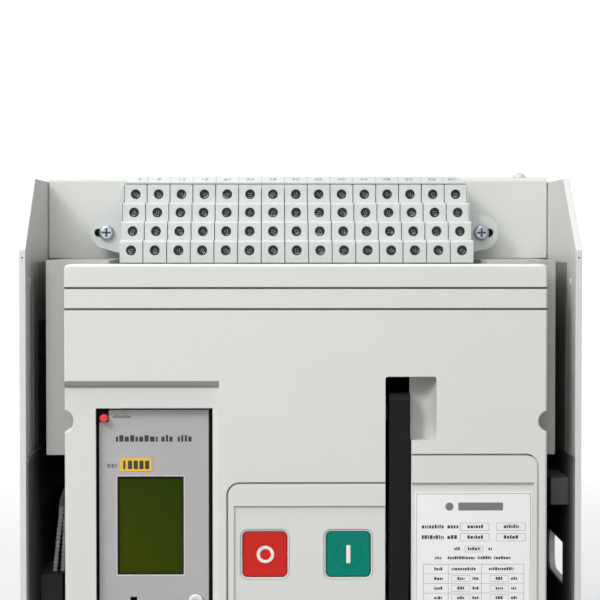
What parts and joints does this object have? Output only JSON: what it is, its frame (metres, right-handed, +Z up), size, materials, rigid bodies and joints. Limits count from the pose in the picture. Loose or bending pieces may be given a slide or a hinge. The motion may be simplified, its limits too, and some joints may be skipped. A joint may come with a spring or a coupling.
{
  "type": "air circuit breaker",
  "caption": "Draw-out low voltage air circuit breaker racked into its steel cradle, with stepped terminal block, trip unit, push buttons and charging handle.",
  "frame": {"origin": "centre of the four floor bolt holes, on the underside of the cradle", "axes": "+Z up, -Y towards the operator at the front, +X to the operator's right"},
  "size_m": [0.2824, 0.352, 0.3535],
  "materials": {
    "painted_sheet": "light grey powder coat",
    "galvanised_sheet": "zinc plated sheet",
    "brass_bush": "turned",
    "dark_moulding": "thermoset moulding",
    "copper_bar": "tin plated copper",
    "black_plastic": "moulded",
    "zinc_steel": "blue zinc plated",
    "terminal_plastic": "light grey polyamide",
    "white_plastic": "moulded",
    "cover_plastic": "light warm grey, fine texture",
    "spring_steel": "oiled",
    "fascia_silver": "metallic grey film",
    "display_lens": "dark olive display",
    "clear_lens": "clear",
    "label_film": "printed film",
    "handle_black": "satin moulded",
    "red_plastic": "satin",
    "green_plastic": "satin"
  },
  "bodies": {
    "cradle": {"side_plate_left": "painted_sheet", "side_plate_right": "painted_sheet", "upper_rear_panel": "painted_sheet", "floor_plate": "galvanised_sheet", "front_cross_bar": "painted_sheet", "racking_bearing": "brass_bush", "insulating_base": "dark_moulding", "main_bars": "copper_bar", "side_guide_left": "black_plastic", "side_guide_right": "black_plastic", "position_switches": "black_plastic", "cradle_fasteners": "zinc_steel", "terminal_modules": "terminal_plastic", "terminal_screws": "zinc_steel", "terminal_carrier": "terminal_plastic", "number_strip": "terminal_plastic"},
    "rail_left": {"rail_left": "galvanised_sheet"},
    "rail_right": {"rail_right": "galvanised_sheet"},
    "carriage": {"racking_carriage": "galvanised_sheet"},
    "racking_screw": {"racking_screw": "zinc_steel"},
    "position_indicator": {"position_indicator": "white_plastic"},
    "shutter_upper": {"shutter_upper": "dark_moulding"},
    "shutter_lower": {"shutter_lower": "dark_moulding"},
    "racking_crank": {"racking_crank": "black_plastic"},
    "breaker": {"front_cover": "cover_plastic", "cover_screws": "zinc_steel", "upper_housing": "cover_plastic", "lower_housing": "black_plastic", "pole_housing": "dark_moulding", "secondary_plug": "black_plastic", "upper_terminals": "copper_bar", "lower_terminals": "copper_bar", "finger_clusters": "copper_bar", "arc_chutes": "dark_moulding", "current_transformers": "black_plastic", "mechanism_frame": "galvanised_sheet", "closing_springs": "spring_steel", "charging_motor": "black_plastic", "release_coils": "black_plastic", "auxiliary_switch": "black_plastic", "trip_unit_housing": "black_plastic", "trip_unit_fascia": "fascia_silver", "display_window": "display_lens", "button_bezels": "cover_plastic", "indicator_windows": "clear_lens", "rating_plate": "label_film", "side_lugs": "galvanised_sheet"},
    "charging_handle": {"charging_handle": "handle_black"},
    "off_button": {"off_button": "red_plastic"},
    "on_button": {"on_button": "green_plastic"},
    "reset_button": {"reset_button": "red_plastic"},
    "key_menu": {"key_menu": "white_plastic"},
    "key_up": {"key_up": "white_plastic"},
    "key_down": {"key_down": "white_plastic"},
    "main_shaft": {"main_shaft": "spring_steel"},
    "moving_contacts": {"moving_contacts": "copper_bar"},
    "contact_flag": {"contact_flag": "white_plastic"},
    "cam_shaft": {"cam_shaft": "spring_steel"},
    "spring_flag": {"spring_flag": "white_plastic"},
    "lock_barrel": {"lock_barrel": "zinc_steel"}
  },
  "joints": [
    {"name": "rack", "type": "slide", "parent": "cradle", "child": "carriage", "axis": [0, -1, 0], "range_m": [0, 0.045]},
    {"name": "withdraw", "type": "slide", "parent": "carriage", "child": "breaker", "axis": [0, -1, 0], "range_m": [0, 0.17]},
    {"name": "rail_left_slide", "type": "slide", "parent": "cradle", "child": "rail_left", "axis": [0, -1, 0], "range_m": [0, 0.17]},
    {"name": "rail_right_slide", "type": "slide", "parent": "cradle", "child": "rail_right", "axis": [0, -1, 0], "range_m": [0, 0.17]},
    {"name": "racking_screw_turn", "type": "hinge", "parent": "cradle", "child": "racking_screw", "pos_m": [0, -0.1, 0.014], "axis": [0, -1, 0], "range_deg": [0, 3240]},
    {"name": "indicator_slide", "type": "slide", "parent": "cradle", "child": "position_indicator", "axis": [-1, 0, 0], "range_m": [0, 0.03]},
    {"name": "shutter_upper_slide", "type": "slide", "parent": "cradle", "child": "shutter_upper", "axis": [0, 0, -1], "range_m": [0, 0.045]},
    {"name": "shutter_lower_slide", "type": "slide", "parent": "cradle", "child": "shutter_lower", "axis": [0, 0, 1], "range_m": [0, 0.045]},
    {"name": "crank_slide", "type": "slide", "parent": "cradle", "child": "racking_crank", "axis": [0, -1, 0], "range_m": [0, 0.2]},
    {"name": "charging_handle_swing", "type": "hinge", "parent": "breaker", "child": "charging_handle", "pos_m": [0.0488, -0.16, 0.084], "axis": [1, 0, 0], "range_deg": [0, 75]},
    {"name": "off_press", "type": "slide", "parent": "breaker", "child": "off_button", "axis": [0, 1, 0], "range_m": [0, 0.004], "stiffness_N_per_m": 900, "springref_m": -0.002},
    {"name": "on_press", "type": "slide", "parent": "breaker", "child": "on_button", "axis": [0, 1, 0], "range_m": [0, 0.004], "stiffness_N_per_m": 900, "springref_m": -0.002},
    {"name": "reset_press", "type": "slide", "parent": "breaker", "child": "reset_button", "axis": [0, 1, 0], "range_m": [0, 0.003]},
    {"name": "key_menu_press", "type": "slide", "parent": "breaker", "child": "key_menu", "axis": [0, 1, 0], "range_m": [0, 0.0008]},
    {"name": "key_up_press", "type": "slide", "parent": "breaker", "child": "key_up", "axis": [0, 1, 0], "range_m": [0, 0.0008]},
    {"name": "key_down_press", "type": "slide", "parent": "breaker", "child": "key_down", "axis": [0, 1, 0], "range_m": [0, 0.0008]},
    {"name": "main_shaft_turn", "type": "hinge", "parent": "breaker", "child": "main_shaft", "pos_m": [0, -0.052, 0.15], "axis": [-1, 0, 0], "range_deg": [0, 50]},
    {"name": "contacts_swing", "type": "hinge", "parent": "breaker", "child": "moving_contacts", "pos_m": [0, 0.004, 0.122], "axis": [-1, 0, 0], "range_deg": [0, 22]},
    {"name": "contact_flag_slide", "type": "slide", "parent": "breaker", "child": "contact_flag", "axis": [0, 0, 1], "range_m": [0, 0.0125]},
    {"name": "cam_shaft_turn", "type": "hinge", "parent": "breaker", "child": "cam_shaft", "pos_m": [0, -0.105, 0.14], "axis": [1, 0, 0], "range_deg": [0, 180]},
    {"name": "spring_flag_slide", "type": "slide", "parent": "breaker", "child": "spring_flag", "axis": [0, 0, 1], "range_m": [0, 0.0125]},
    {"name": "lock_turn", "type": "hinge", "parent": "breaker", "child": "lock_barrel", "pos_m": [0.0027, -0.168, 0.094], "axis": [0, 1, 0], "range_deg": [0, 90]}
  ],
  "couplings": [
    {"joint": "racking_screw_turn", "follows": "rack", "rad_per_m": 1256.6},
    {"joint": "indicator_slide", "follows": "rack", "ratio": 0.6666},
    {"joint": "shutter_upper_slide", "follows": "rack", "ratio": 1},
    {"joint": "shutter_lower_slide", "follows": "rack", "ratio": 1},
    {"joint": "contacts_swing", "follows": "main_shaft_turn", "ratio": 0.44},
    {"joint": "contact_flag_slide", "follows": "main_shaft_turn", "m_per_rad": 0.014323},
    {"joint": "spring_flag_slide", "follows": "cam_shaft_turn", "m_per_rad": 0.003978}
  ]
}
